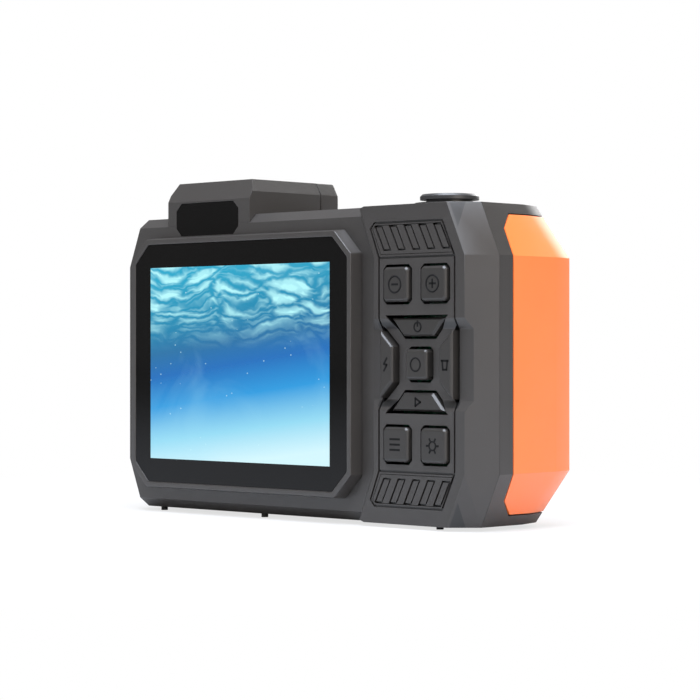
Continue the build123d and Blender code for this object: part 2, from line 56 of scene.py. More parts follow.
MM = 0.001
BODY_OF = {node: body for body, nodes in frame["record"]["behaviour"]["bodies"].items() for node in nodes}

# %% [markdown]
# The viewer stands behind the camera on its grip side, level with it and about half a metre away, with a
# long lens. A long lens keeps the parallel edges of the housing nearly parallel. The camera comes first,
# because everything else is judged through it.

# %% The viewing camera
VIEW_TURN = math.radians(224.5)
VIEW_DISTANCE = 0.50156
VIEW_AIM = Vector((-0.0202, 0.0175, 0.03678))

camera_data = bpy.data.cameras.new("view_camera")
camera_data.lens = 123.3
camera_data.sensor_width = 36.0
camera_data.clip_start = 0.01
viewer = bpy.data.objects.new("view_camera", camera_data)
bpy.context.scene.collection.objects.link(viewer)
back = Vector((math.sin(VIEW_TURN), -math.cos(VIEW_TURN), 0.0))
viewer.location = VIEW_AIM + back * VIEW_DISTANCE
viewer.rotation_euler = (math.radians(90), 0.0, VIEW_TURN)
bpy.context.scene.camera = viewer
print("camera at", [round(c, 3) for c in viewer.location])

# %% [markdown]
# Dark plastic shows its shape only through reflections, so the light is broad and soft: a large panel
# overhead, weaker ones on the grip side and in front, and a pale surround that fills the shadows. The
# surround is plain white to the viewer, and dimmer and warmer as a light.

# %% Soft studio light
def soft_panel(name, place, aim, size, watts, tint=(1.0, 1.0, 1.0)):
    """A square light panel at a place, in metres, turned to face a point."""
    data = bpy.data.lights.new(name, "AREA")
    data.size = size
    data.energy = watts
    data.color = tint
    lamp = bpy.data.objects.new(name, data)
    bpy.context.scene.collection.objects.link(lamp)
    lamp.location = place
    lamp.rotation_euler = (Vector(aim) - Vector(place)).to_track_quat("-Z", "Y").to_euler()
    return lamp


MIDDLE = (0.0, 0.0, 0.035)
SURROUND_STRENGTH = 0.34
soft_panel("overhead", (-0.15, 0.25, 0.9), MIDDLE, 0.8, 27.0, (0.82, 0.88, 1.0))
soft_panel("grip_side", (-0.9, 0.25, 0.35), MIDDLE, 0.6, 3.6, (1.0, 0.88, 0.78))
soft_panel("front_fill", (0.3, -0.9, 0.5), MIDDLE, 0.7, 7.0)

world = bpy.data.worlds.new("pale_surround")
world.use_nodes = True
surround = world.node_tree.nodes["Background"]
backdrop = world.node_tree.nodes.new("ShaderNodeBackground")
chooser = world.node_tree.nodes.new("ShaderNodeMixShader")
rays = world.node_tree.nodes.new("ShaderNodeLightPath")
surround.inputs["Strength"].default_value = SURROUND_STRENGTH
backdrop.inputs["Strength"].default_value = 1.0
surround.inputs["Color"].default_value = (1.0, 0.96, 0.92, 1.0)
backdrop.inputs["Color"].default_value = (1.0, 1.0, 1.0, 1.0)
world.node_tree.links.new(rays.outputs["Is Camera Ray"], chooser.inputs["Fac"])
world.node_tree.links.new(surround.outputs["Background"], chooser.inputs[1])
world.node_tree.links.new(backdrop.outputs["Background"], chooser.inputs[2])
world.node_tree.links.new(chooser.outputs["Shader"], world.node_tree.nodes["World Output"].inputs["Surface"])
bpy.context.scene.world = world
bpy.context.scene.view_settings.view_transform = "Standard"

# %% [markdown]
# The floor is a plain pale sheet, large enough to reach past the view. It is stage, not camera, and its
# finish is made below, with the others.

# %% The floor
bpy.ops.object.select_all(action="DESELECT")
bpy.ops.mesh.primitive_plane_add(size=8.0, location=(0, 0, 0))
floor = bpy.context.object
floor.name = "floor"

# %% [markdown]
# ## Finishes
#
# Several finishes share the same effects, so each effect is a node group that is built once. `grain` puts
# out a height for a bump and a roughness that varies a little, as a spark-eroded mould leaves on plastic.
# A group puts out only values and masks, and each finish decides what they change.

# %% A new shared effect
def new_group(name, inputs, outputs):
    """An empty shader node group with value sockets."""
    tree = bpy.data.node_groups.new(name, "ShaderNodeTree")
    for label, value in inputs:
        socket = tree.interface.new_socket(label, in_out="INPUT", socket_type="NodeSocketFloat")
        socket.default_value = value
    for label in outputs:
        tree.interface.new_socket(label, in_out="OUTPUT", socket_type="NodeSocketFloat")
    return tree, tree.nodes.new("NodeGroupInput"), tree.nodes.new("NodeGroupOutput")


# %% [markdown]
# `grain` is the finish that a spark-eroded mould leaves on plastic: a fine height for a bump, and a
# roughness that drifts a little from place to place.

# %% Grain
def grain_group():
    sockets = [("Scale", 9000.0), ("Roughness", 0.5), ("Spread", 0.1)]
    tree, given, out = new_group("grain", sockets, ["Height", "Roughness"])
    coords = tree.nodes.new("ShaderNodeTexCoord")
    fine = tree.nodes.new("ShaderNodeTexNoise")
    fine.inputs["Detail"].default_value = 2.0
    tree.links.new(coords.outputs["Object"], fine.inputs["Vector"])
    tree.links.new(given.outputs["Scale"], fine.inputs["Scale"])
    slow = tree.nodes.new("ShaderNodeTexNoise")
    slow.inputs["Scale"].default_value = 220.0
    slow.inputs["Detail"].default_value = 4.0
    tree.links.new(coords.outputs["Object"], slow.inputs["Vector"])
    centred = tree.nodes.new("ShaderNodeMath")
    centred.operation = "SUBTRACT"
    centred.inputs[1].default_value = 0.5
    tree.links.new(slow.outputs["Fac"], centred.inputs[0])
    spread = tree.nodes.new("ShaderNodeMath")
    spread.operation = "MULTIPLY_ADD"
    tree.links.new(centred.outputs[0], spread.inputs[0])
    tree.links.new(given.outputs["Spread"], spread.inputs[1])
    tree.links.new(given.outputs["Roughness"], spread.inputs[2])
    tree.links.new(fine.outputs["Fac"], out.inputs["Height"])
    tree.links.new(spread.outputs[0], out.inputs["Roughness"])
    return tree


GRAIN = grain_group()
print("made", GRAIN.name)


# %% [markdown]
# `soiling` is a slow cloudy mask, for the faint unevenness that every handled surface has.

# %% Soiling
def cloud_group():
    tree, given, out = new_group("soiling", [("Scale", 60.0)], ["Mask"])
    coords = tree.nodes.new("ShaderNodeTexCoord")
    cloud = tree.nodes.new("ShaderNodeTexNoise")
    cloud.inputs["Detail"].default_value = 6.0
    cloud.inputs["Roughness"].default_value = 0.65
    tree.links.new(coords.outputs["Object"], cloud.inputs["Vector"])
    tree.links.new(given.outputs["Scale"], cloud.inputs["Scale"])
    tree.links.new(cloud.outputs["Fac"], out.inputs["Mask"])
    return tree


SOILING = cloud_group()
print("made", SOILING.name)


# %% [markdown]
# `scuffs` are fine short scratches. Noise that is stretched one way looks like strokes, and a threshold
# keeps only the strongest of them.

# %% Scuffs
def scuff_group():
    """Fine short scratches: a noise that is stretched along one slanted direction and thresholded."""
    tree, given, out = new_group("scuffs", [("Density", 0.3)], ["Mask"])
    coords = tree.nodes.new("ShaderNodeTexCoord")
    stretch = tree.nodes.new("ShaderNodeMapping")
    stretch.inputs["Rotation"].default_value = (0.3, 0.5, 0.2)
    stretch.inputs["Scale"].default_value = (300.0, 2600.0, 2600.0)
    tree.links.new(coords.outputs["Object"], stretch.inputs["Vector"])
    lines = tree.nodes.new("ShaderNodeTexNoise")
    lines.inputs["Scale"].default_value = 1.0
    lines.inputs["Detail"].default_value = 2.0
    tree.links.new(stretch.outputs["Vector"], lines.inputs["Vector"])
    cut = tree.nodes.new("ShaderNodeMapRange")
    cut.inputs["From Min"].default_value = 0.68
    cut.inputs["From Max"].default_value = 0.76
    tree.links.new(lines.outputs["Fac"], cut.inputs["Value"])
    amount = tree.nodes.new("ShaderNodeMath")
    amount.operation = "MULTIPLY"
    tree.links.new(cut.outputs["Result"], amount.inputs[0])
    tree.links.new(given.outputs["Density"], amount.inputs[1])
    tree.links.new(amount.outputs[0], out.inputs["Mask"])
    return tree


SCUFFS = scuff_group()
print("made", SCUFFS.name)


# %% [markdown]
# `band` marks a range of heights, which is all that a printed label on the battery or card needs.

# %% Label band
def band_group():
    """1 between two heights and 0 elsewhere, for printed labels."""
    tree, given, out = new_group("band", [("Low", 0.0), ("High", 0.01)], ["Mask"])
    coords = tree.nodes.new("ShaderNodeTexCoord")
    split = tree.nodes.new("ShaderNodeSeparateXYZ")
    tree.links.new(coords.outputs["Object"], split.inputs["Vector"])
    tests = []
    for label, operation in (("Low", "GREATER_THAN"), ("High", "LESS_THAN")):
        test = tree.nodes.new("ShaderNodeMath")
        test.operation = operation
        tree.links.new(split.outputs["Z"], test.inputs[0])
        tree.links.new(given.outputs[label], test.inputs[1])
        tests.append(test)
    both = tree.nodes.new("ShaderNodeMath")
    both.operation = "MULTIPLY"
    tree.links.new(tests[0].outputs[0], both.inputs[0])
    tree.links.new(tests[1].outputs[0], both.inputs[1])
    tree.links.new(both.outputs[0], out.inputs["Mask"])
    return tree


BAND = band_group()
print("made", BAND.name)


# %% [markdown]
# `tracks` stands for the copper on a circuit board. The joints of a brick pattern are thin and straight,
# much as tracks are.

# %% Board tracks
def track_group():
    """Copper tracks: the joints of a small brick pattern, laid on boards that stand upright."""
    tree, given, out = new_group("tracks", [("Scale", 420.0)], ["Mask"])
    coords = tree.nodes.new("ShaderNodeTexCoord")
    upright = tree.nodes.new("ShaderNodeMapping")
    upright.inputs["Rotation"].default_value = (math.radians(90), 0.0, 0.0)
    tree.links.new(coords.outputs["Object"], upright.inputs["Vector"])
    bricks = tree.nodes.new("ShaderNodeTexBrick")
    bricks.inputs["Mortar Size"].default_value = 0.03
    bricks.inputs["Mortar Smooth"].default_value = 0.0
    tree.links.new(upright.outputs["Vector"], bricks.inputs["Vector"])
    tree.links.new(given.outputs["Scale"], bricks.inputs["Scale"])
    tree.links.new(bricks.outputs["Fac"], out.inputs["Mask"])
    return tree


TRACKS = track_group()
print("made", TRACKS.name)


# %% [markdown]
# This group is painted shade: it darkens the grooves and slots of the keypad insert. They are too narrow for
# soft light to shade them fully, so their depth below the panel's skin is turned into a mask of painted
# shade.

# %% Painted shade in the keypad recesses
# The panel's skin lies at PANEL_SKIN, and at WAIST_SKIN within the thumb's waist; the masks start
# SKIN_MARGIN below it.
KEYPAD_MID_Z = 33.8 * MM
WAIST_HALF, WAIST_RAMP_END = 7.25 * MM, 7.85 * MM
PANEL_SKIN, WAIST_SKIN, SKIN_MARGIN = 15.8 * MM, 14.5 * MM, 0.25 * MM


def recess_shade_group():
    """Painted shade: 1 in the grooves and slots of the keypad insert, and 0 on its skin."""
    tree, given, out = new_group("recess_shade", [("Left", -0.05), ("Right", -0.026)], ["Mask"])
    coords = tree.nodes.new("ShaderNodeTexCoord")
    split = tree.nodes.new("ShaderNodeSeparateXYZ")
    tree.links.new(coords.outputs["Object"], split.inputs["Vector"])

    def step(operation, first, second):
        node = tree.nodes.new("ShaderNodeMath")
        node.operation = operation
        for socket, value in zip(node.inputs, (first, second)):
            if isinstance(value, float):
                socket.default_value = value
            elif value is not None:
                tree.links.new(value, socket)
        return node.outputs[0]

    # The panel's skin drops at the thumb's waist, so the level follows it.
    height = step("ABSOLUTE", step("SUBTRACT", split.outputs["Z"], KEYPAD_MID_Z), None)
    level = tree.nodes.new("ShaderNodeMapRange")
    level.inputs["From Min"].default_value = WAIST_HALF
    level.inputs["From Max"].default_value = WAIST_RAMP_END
    level.inputs["To Min"].default_value = WAIST_SKIN - SKIN_MARGIN
    level.inputs["To Max"].default_value = PANEL_SKIN - SKIN_MARGIN - 0.05 * MM
    tree.links.new(height, level.inputs["Value"])
    depth = step("SUBTRACT", level.outputs["Result"], split.outputs["Y"])
    shade = tree.nodes.new("ShaderNodeMapRange")
    shade.inputs["From Max"].default_value = 0.0002
    tree.links.new(depth, shade.inputs["Value"])
    beside = step("MULTIPLY", step("GREATER_THAN", split.outputs["X"], given.outputs["Left"]),
                  step("LESS_THAN", split.outputs["X"], given.outputs["Right"]))
    tree.links.new(step("MULTIPLY", shade.outputs["Result"], beside), out.inputs["Mask"])
    return tree


RECESS_SHADE = recess_shade_group()
print("made", RECESS_SHADE.name)

# %% [markdown]
# Most finishes are one recipe with different numbers, so one helper makes them: a base colour that drifts
# between two close tones, the grain as bump and roughness, and a coat where the real surface is glossy.

# %% A grained finish


def finish(name, colour, second=None, roughness=0.5, spread=0.12, grain=9000.0, bump=0.15, depth=0.00004,
           metallic=0.0, coat=0.0, coat_roughness=0.1, specular=0.5):
    """A grained finish whose colour drifts between two close tones."""
    material = bpy.data.materials.new(name)
    material.use_nodes = True
    tree = material.node_tree
    shader = tree.nodes["Principled BSDF"]
    shader.inputs["Metallic"].default_value = metallic
    shader.inputs["Coat Weight"].default_value = coat
    shader.inputs["Coat Roughness"].default_value = coat_roughness
    shader.inputs["Specular IOR Level"].default_value = specular
    effect = tree.nodes.new("ShaderNodeGroup")
    effect.node_tree = GRAIN
    effect.inputs["Scale"].default_value = grain
    effect.inputs["Roughness"].default_value = roughness
    effect.inputs["Spread"].default_value = spread
    tree.links.new(effect.outputs["Roughness"], shader.inputs["Roughness"])
    relief = tree.nodes.new("ShaderNodeBump")
    relief.inputs["Strength"].default_value = bump
    relief.inputs["Distance"].default_value = depth
    tree.links.new(effect.outputs["Height"], relief.inputs["Height"])
    tree.links.new(relief.outputs["Normal"], shader.inputs["Normal"])
    cloud = tree.nodes.new("ShaderNodeGroup")
    cloud.node_tree = SOILING
    tones = tree.nodes.new("ShaderNodeMix")
    tones.data_type = "RGBA"
    second = second or tuple(c * 1.22 for c in colour)
    tones.inputs["A"].default_value = (*colour, 1.0)
    tones.inputs["B"].default_value = (*second, 1.0)
    tree.links.new(cloud.outputs["Mask"], tones.inputs["Factor"])
    tree.links.new(tones.outputs["Result"], shader.inputs["Base Color"])
    return material


# %% [markdown]
# The record names one material slot for each kind of surface, so there is one finish for each slot, and
# a few parts get one of their own further down. The housing is a warm dark grey, the keys are a little
# darker and smoother, and the cover is a satin orange.

# %% One finish for each slot
FINISHES = {
    "shell_plastic": finish(
        "shell_plastic", (0.0275, 0.0248, 0.0225), roughness=0.39, bump=0.35, specular=0.7),
    "grip_plastic": finish("grip_plastic", (0.0235, 0.0210, 0.0190), roughness=0.41, bump=0.4, specular=0.7),
    "orange_cover": finish(
        "orange_cover", (0.90, 0.160, 0.020), (0.90, 0.185, 0.030), roughness=0.45, bump=0.15,
        coat=0.7, coat_roughness=0.45),
    "key_rubber": finish("key_rubber", (0.0205, 0.0188, 0.0170), roughness=0.36, bump=0.2),
    "button_plastic": finish("button_plastic", (0.030, 0.030, 0.030), roughness=0.34, bump=0.1),
    "black_glass": finish(
        "black_glass", (0.0035, 0.0034, 0.0033), roughness=0.07, spread=0.04, bump=0.0, specular=0.15),
    "lcd": finish("lcd", (0.02, 0.03, 0.04), roughness=0.2, bump=0.0),
    "lens_metal": finish("lens_metal", (0.018, 0.018, 0.019), roughness=0.36, metallic=0.6, bump=0.1),
    "circuit_board": finish(
        "circuit_board", (0.01, 0.09, 0.045), (0.012, 0.12, 0.06), roughness=0.35, coat=0.4),
    "chip_plastic": finish("chip_plastic", (0.02, 0.02, 0.022), roughness=0.55, bump=0.3),
    "steel": finish("steel", (0.52, 0.52, 0.53), roughness=0.32, metallic=1.0, bump=0.1),
    "brass": finish("brass", (0.72, 0.50, 0.22), roughness=0.3, metallic=1.0, bump=0.1),
    "seal_rubber": finish("seal_rubber", (0.022, 0.022, 0.022), roughness=0.7, bump=0.4),
    "battery_wrap": finish("battery_wrap", (0.10, 0.11, 0.13), roughness=0.3, coat=0.5, bump=0.1),
    "card_plastic": finish("card_plastic", (0.02, 0.02, 0.025), roughness=0.45, bump=0.2),
    "reflector": finish("reflector", (0.85, 0.86, 0.88), roughness=0.12, metallic=1.0, bump=0.0),
}


# %% [markdown]
# Labels, tracks, scuffs and the painted shade of the recesses are laid over a finished colour, one mask at a
# time.

# %% Overlays
def overlay(finish_name, group, values, tint):
    """Lays a tint over a finish wherever a shared mask is 1."""
    tree = FINISHES[finish_name].node_tree
    colour_socket = tree.nodes["Principled BSDF"].inputs["Base Color"]
    under = colour_socket.links[0].from_socket
    mask = tree.nodes.new("ShaderNodeGroup")
    mask.node_tree = group
    for label, value in values.items():
        mask.inputs[label].default_value = value
    layer = tree.nodes.new("ShaderNodeMix")
    layer.data_type = "RGBA"
    layer.inputs["B"].default_value = (*tint, 1.0)
    tree.links.new(mask.outputs["Mask"], layer.inputs["Factor"])
    tree.links.new(under, layer.inputs["A"])
    tree.links.new(layer.outputs["Result"], colour_socket)


FINISHES["keypad_plastic"] = finish(
    "keypad_plastic", (0.0235, 0.0210, 0.0190), roughness=0.41, bump=0.4, specular=0.7)
overlay("keypad_plastic", SCUFFS, {"Density": 0.10}, (0.10, 0.098, 0.095))
# Painted shade: the keypad's grooves and slots are darkened almost to black by their depth below the skin.
overlay("keypad_plastic", RECESS_SHADE, {"Left": -0.0486, "Right": -0.0262}, (0.003, 0.003, 0.003))
battery_low, battery_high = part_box("battery")
label_low = battery_low[2] + 0.2 * (battery_high[2] - battery_low[2])
label_high = battery_low[2] + 0.8 * (battery_high[2] - battery_low[2])
overlay("battery_wrap", BAND, {"Low": label_low, "High": label_high}, (0.55, 0.56, 0.58))
overlay("battery_wrap", BAND, {"Low": label_high - 3 * MM, "High": label_high - 2 * MM}, (0.8, 0.25, 0.04))
card_low, card_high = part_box("memory_card")
card_label = {"Low": card_low[2] + 2 * MM, "High": card_high[2] - 3 * MM}
overlay("card_plastic", BAND, card_label, (0.30, 0.31, 0.33))
overlay("circuit_board", TRACKS, {"Scale": 420.0}, (0.035, 0.22, 0.10))
overlay("shell_plastic", SCUFFS, {"Density": 0.10}, (0.10, 0.098, 0.095))
overlay("grip_plastic", SCUFFS, {"Density": 0.10}, (0.10, 0.098, 0.095))
overlay("button_plastic", SCUFFS, {"Density": 0.14}, (0.09, 0.09, 0.09))
overlay("orange_cover", SCUFFS, {"Density": 0.10}, (1.0, 0.36, 0.12))


# %% [markdown]
# Clear glass covers the lens and the lamp. The lens elements behind it are kept opaque and dark, because
# real ones mostly show their coating and little of the inside.

# %% Glass
def clear_glass():
    """Clear glass with a faint tint and a trace of uneven polish."""
    material = bpy.data.materials.new("clear_glass")
    material.use_nodes = True
    tree = material.node_tree
    shader = tree.nodes["Principled BSDF"]
    shader.inputs["Base Color"].default_value = (0.93, 0.95, 1.0, 1.0)
    shader.inputs["Transmission Weight"].default_value = 1.0
    shader.inputs["IOR"].default_value = 1.5
    effect = tree.nodes.new("ShaderNodeGroup")
    effect.node_tree = GRAIN
    effect.inputs["Roughness"].default_value = 0.012
    effect.inputs["Spread"].default_value = 0.02
    tree.links.new(effect.outputs["Roughness"], shader.inputs["Roughness"])
    return material


FINISHES["clear_glass"] = clear_glass()


def coated_glass():
    """Dark opaque lens glass under a clear coat, with painted reflections of its coating in rings of green
    and violet.
    """
    material = bpy.data.materials.new("coated_glass")
    material.use_nodes = True
    tree = material.node_tree
    shader = tree.nodes["Principled BSDF"]
    shader.inputs["Metallic"].default_value = 0.0
    shader.inputs["Coat Weight"].default_value = 1.0
    shader.inputs["Coat Roughness"].default_value = 0.03
    effect = tree.nodes.new("ShaderNodeGroup")
    effect.node_tree = GRAIN
    effect.inputs["Roughness"].default_value = 0.06
    effect.inputs["Spread"].default_value = 0.03
    tree.links.new(effect.outputs["Roughness"], shader.inputs["Roughness"])
    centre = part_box("lens_element_front")
    coords = tree.nodes.new("ShaderNodeTexCoord")
    centring = tree.nodes.new("ShaderNodeMapping")
    centring.inputs["Location"].default_value = (
        -(centre[0][0] + centre[1][0]) / 2, 0.0, -(centre[0][2] + centre[1][2]) / 2)
    tree.links.new(coords.outputs["Object"], centring.inputs["Vector"])
    flat = tree.nodes.new("ShaderNodeVectorMath")
    flat.operation = "MULTIPLY"
    flat.inputs[1].default_value = (1.0, 0.0, 1.0)
    tree.links.new(centring.outputs["Vector"], flat.inputs[0])
    radius = tree.nodes.new("ShaderNodeVectorMath")
    radius.operation = "LENGTH"
    tree.links.new(flat.outputs["Vector"], radius.inputs[0])
    share = tree.nodes.new("ShaderNodeMapRange")
    share.inputs["From Max"].default_value = 0.0072
    tree.links.new(radius.outputs["Value"], share.inputs["Value"])
    tint = tree.nodes.new("ShaderNodeValToRGB")
    # Painted reflection: the green and violet glints of the lens coating are laid into the base colour in
    # rings.
    coating_glint_rings = [(0.0, (0.002, 0.006, 0.008)), (0.30, (0.004, 0.020, 0.022)), (0.42, (0.010, 0.008, 0.030)),
             (0.60, (0.004, 0.004, 0.009)), (0.64, (0.014, 0.010, 0.028)), (0.85, (0.005, 0.005, 0.008)),
             (1.0, (0.002, 0.002, 0.003))]
    while len(tint.color_ramp.elements) < len(coating_glint_rings):
        tint.color_ramp.elements.new(0.5)
    for element, (at, colour) in zip(tint.color_ramp.elements, coating_glint_rings):
        element.position = at
        element.color = (*colour, 1.0)
    tree.links.new(share.outputs["Result"], tint.inputs["Fac"])
    tree.links.new(tint.outputs["Color"], shader.inputs["Base Color"])
    return material


FINISHES["coated_glass"] = coated_glass()
# %% [markdown]
# Seen level, a floor ends in a horizon line. For the viewer's rays only, it turns white away from the
# camera, so it meets the white surround without a line, while the light it reflects stays the same.

# %% Floor finish
FINISHES["floor"] = finish(
    "floor", (0.50, 0.50, 0.50), (0.53, 0.53, 0.53), roughness=0.8, grain=400.0, bump=0.05)


def fade_to_white(material, near, far):
    """Far from the middle the sheet looks plain white to the viewer, so no horizon line is seen."""
    tree = material.node_tree
    shader = tree.nodes["Principled BSDF"]
    coords = tree.nodes.new("ShaderNodeTexCoord")
    reach = tree.nodes.new("ShaderNodeVectorMath")
    reach.operation = "LENGTH"
    tree.links.new(coords.outputs["Object"], reach.inputs[0])
    fade = tree.nodes.new("ShaderNodeMapRange")
    fade.interpolation_type = "SMOOTHSTEP"
    fade.inputs["From Min"].default_value = near
    fade.inputs["From Max"].default_value = far
    fade.inputs["To Min"].default_value = 0.72
    tree.links.new(reach.outputs["Value"], fade.inputs["Value"])
    seen = tree.nodes.new("ShaderNodeLightPath")
    amount = tree.nodes.new("ShaderNodeMath")
    amount.operation = "MULTIPLY"
    tree.links.new(fade.outputs["Result"], amount.inputs[0])
    tree.links.new(seen.outputs["Is Camera Ray"], amount.inputs[1])
    white = tree.nodes.new("ShaderNodeEmission")
    white.inputs["Color"].default_value = (1.0, 1.0, 1.0, 1.0)
    blend = tree.nodes.new("ShaderNodeMixShader")
    tree.links.new(amount.outputs[0], blend.inputs["Fac"])
    tree.links.new(shader.outputs["BSDF"], blend.inputs[1])
    tree.links.new(white.outputs["Emission"], blend.inputs[2])
    tree.links.new(blend.outputs["Shader"], tree.nodes["Material Output"].inputs["Surface"])


fade_to_white(FINISHES["floor"], 0.07, 0.2)
floor.data.materials.append(FINISHES["floor"])

# %% [markdown]
# Each CAD part now gets the finish of its slot, apart from the few that have their own.

# %% Finishes on the parts
SPECIAL_FINISH = {node: "coated_glass" for node in ("lens_element_front", "lens_element_rear")}
SPECIAL_FINISH.update({node: "keypad_plastic" for node in ("grip_panel", "upper_grille", "lower_grille")})
SLOT_OF = {part["node"]: part["material_slot"] for part in frame["record"]["subparts"]}
for node, thing in NODES.items():
    thing.data.materials.clear()
    thing.data.materials.append(FINISHES[SPECIAL_FINISH.get(node, SLOT_OF[node])])
print("finished", len(NODES), "parts in", len(FINISHES), "finishes")

# %% [markdown]
# ## Softened edges
#
# A moulded edge is never a knife edge: it is rounded by a few tenths of a millimetre, and that thin round
# catches a line of light. The CAD parts have sharp edges, so each moulded part is copied, its loose
# triangles are merged into clean faces, and a bevel rounds its edges.

# %% A rounded copy of a CAD part
def clean_copy(node, name):
    """A merged copy of a CAD part's mesh, with flat areas dissolved into single faces."""
    source = NODES[node]
    mesh = source.data.copy()
    mesh.name = name
    piece = bpy.data.objects.new(name, mesh)
    bpy.context.scene.collection.objects.link(piece)
    bpy.ops.object.select_all(action="DESELECT")
    piece.select_set(True)
    bpy.context.view_layer.objects.active = piece
    if mesh.has_custom_normals:
        bpy.ops.mesh.customdata_custom_splitnormals_clear()
    bpy.ops.object.mode_set(mode="EDIT")
    bpy.ops.mesh.select_all(action="SELECT")
    bpy.ops.mesh.remove_doubles(threshold=0.000002)
    bpy.ops.mesh.dissolve_limited(angle_limit=math.radians(1.0))
    bpy.ops.object.mode_set(mode="OBJECT")
    return piece


def weigh_edges(piece, angle, keep):
    """Gives a bevel weight of 1 to the sharp edges whose middle passes the test."""
    mesh = bmesh.new()
    mesh.from_mesh(piece.data)
    weight = mesh.edges.layers.float.new("bevel_weight_edge")
    for edge in mesh.edges:
        sharp = len(edge.link_faces) == 2 and edge.calc_face_angle(0.0) > angle
        edge[weight] = 1.0 if sharp and keep((edge.verts[0].co + edge.verts[1].co) / 2) else 0.0
    mesh.to_mesh(piece.data)
    mesh.free()


def soften(node, width, segments=2, angle=28.0, keep=None):
    """Replaces a CAD part by a copy with rounded edges; keep tests which edges are rounded."""
    piece = clean_copy(node, node + "_moulded")
    if keep:
        weigh_edges(piece, math.radians(angle), keep)
    rounding = piece.modifiers.new("edge_round", "BEVEL")
    rounding.width = width
    rounding.segments = segments
    rounding.limit_method = "WEIGHT" if keep else "ANGLE"
    rounding.angle_limit = math.radians(angle)
    rounding.miter_outer = "MITER_ARC"
    rounding.use_clamp_overlap = True
    bpy.ops.object.modifier_apply(modifier=rounding.name)
    bpy.ops.object.shade_smooth_by_angle(angle=math.radians(24))
    flatten = piece.modifiers.new("flat_faces", "WEIGHTED_NORMAL")
    flatten.weight = 100
    flatten.keep_sharp = True
    bpy.ops.object.modifier_apply(modifier=flatten.name)
    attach(piece, BODY_OF[node])
    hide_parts(node)
    return piece


# %% [markdown]
# Widths are in millimetres. The keypad panel is rounded only outside its insert, because its fine grooves
# are narrower than the rounding and would hold it back.

# %% Rounded parts
EDGE_ROUNDS = {
    "rear_shell": 0.30,
    "front_shell": 0.30,
    "grip_panel": 0.34,
    "side_frame": 0.22,
    "side_door": 0.35,
    "screen_bezel": 0.26,
    "lamp_housing": 0.30,
    "lamp_front_cap": 0.25,
}
KEY_NODES = [node for node in NODES if node.startswith("key_") and node != "key_board"]
INSERT_LOW, INSERT_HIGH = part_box("lower_grille")[0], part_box("upper_grille")[1]


def off_the_insert(point):
    """True outside the keypad insert, whose grooves and key holes stay crisp."""
    margin = 1.2 * MM
    beside = point.x < INSERT_LOW[0] - margin or point.x > INSERT_HIGH[0] + margin
    beyond = point.z < INSERT_LOW[2] - margin or point.z > INSERT_HIGH[2] + margin
    return beside or beyond


EDGE_TESTS = {"grip_panel": off_the_insert}
for node, width in EDGE_ROUNDS.items():
    softened = soften(node, width * MM, keep=EDGE_TESTS.get(node))
    print(softened.name, len(softened.data.polygons), "faces")
for node in KEY_NODES:
    soften(node, 0.25 * MM, segments=3)

# %% [markdown]
# ## Marks on the keys
#
# Each key carries a small plain dark sign, a hair proud of its cap: plus and minus for the zoom, a
# ring for the middle key, bars for the mode and so on. A sign is a few strokes, and each stroke is a low
# bevelled bar, so one helper draws them all from pairs of end points around the key's middle.

# %% Key signs
MARK_COLOUR = finish("mark_fill", (0.003, 0.003, 0.003), roughness=0.7, bump=0.2, specular=0.2)
STROKE = 0.42 * MM
MARK_DEPTH = 0.06 * MM


def stroke(key_face, start, end):
    """A low bar from start to end, given in millimetres right and up from the key's middle."""
    x0, x1 = key_face.x - start[0] * MM, key_face.x - end[0] * MM
    z0, z1 = key_face.z + start[1] * MM, key_face.z + end[1] * MM
    length = math.hypot(x1 - x0, z1 - z0) + STROKE * 0.8
    bpy.ops.mesh.primitive_cube_add(
        size=1.0, location=((x0 + x1) / 2, key_face.y, (z0 + z1) / 2),
        rotation=(0.0, -math.atan2(z1 - z0, x1 - x0), 0.0), scale=(length, MARK_DEPTH, STROKE))
    bpy.ops.object.mode_set(mode="EDIT")
    bpy.ops.mesh.select_all(action="SELECT")
    bpy.ops.mesh.bevel(offset=0.00001, segments=1)
    bpy.ops.object.mode_set(mode="OBJECT")
    return bpy.context.object


def ring_mark(key_face, right, up, radius):
    """A low ring around a point on the key."""
    place = (key_face.x - right * MM, key_face.y - 0.08 * MM, key_face.z + up * MM)
    bpy.ops.mesh.primitive_torus_add(
        location=place, rotation=(math.radians(90), 0.0, 0.0), major_radius=radius * MM,
        minor_radius=STROKE * 0.5, major_segments=28, minor_segments=8)
    return bpy.context.object


# %% [markdown]
# The signs are lists of strokes, in millimetres right and up from the key's middle, and a ring where one
# is wanted.

# %% The nine signs
SIGNS = {
    "key_zoom_wide": ([((-0.8, 0), (0.8, 0))], (0, 0, 1.7)),
    "key_zoom_tele": ([((-0.8, 0), (0.8, 0)), ((0, -0.8), (0, 0.8))], (0, 0, 1.7)),
    "key_up": ([((0, 0.2), (0, 1.2))], (0, 0, 0.95)),
    "key_left": ([((0.4, 1.3), (-0.4, 0.1)), ((-0.4, 0.1), (0.4, -0.1)), ((0.4, -0.1), (-0.4, -1.3))], None),
    "key_right": ([((-0.9, 0.8), (0.9, 0.8)), ((-0.7, 0.8), (-0.5, -1)), ((0.7, 0.8), (0.5, -1)),
                   ((-0.5, -1), (0.5, -1))], None),
    "key_down": ([((-0.6, -0.8), (-0.6, 0.8)), ((-0.6, 0.8), (0.8, 0)), ((0.8, 0), (-0.6, -0.8))], None),
    "key_ok": ([], (0, 0, 1.35)),
    "key_mode": ([((-1.3, h), (1.3, h)) for h in (-1.1, 0.0, 1.1)], None),
    "key_settings": ([((0.9 * math.cos(t), 0.9 * math.sin(t)), (1.6 * math.cos(t), 1.6 * math.sin(t)))
                      for t in [i * math.pi / 3 for i in range(6)]], (0, 0, 0.9)),
}
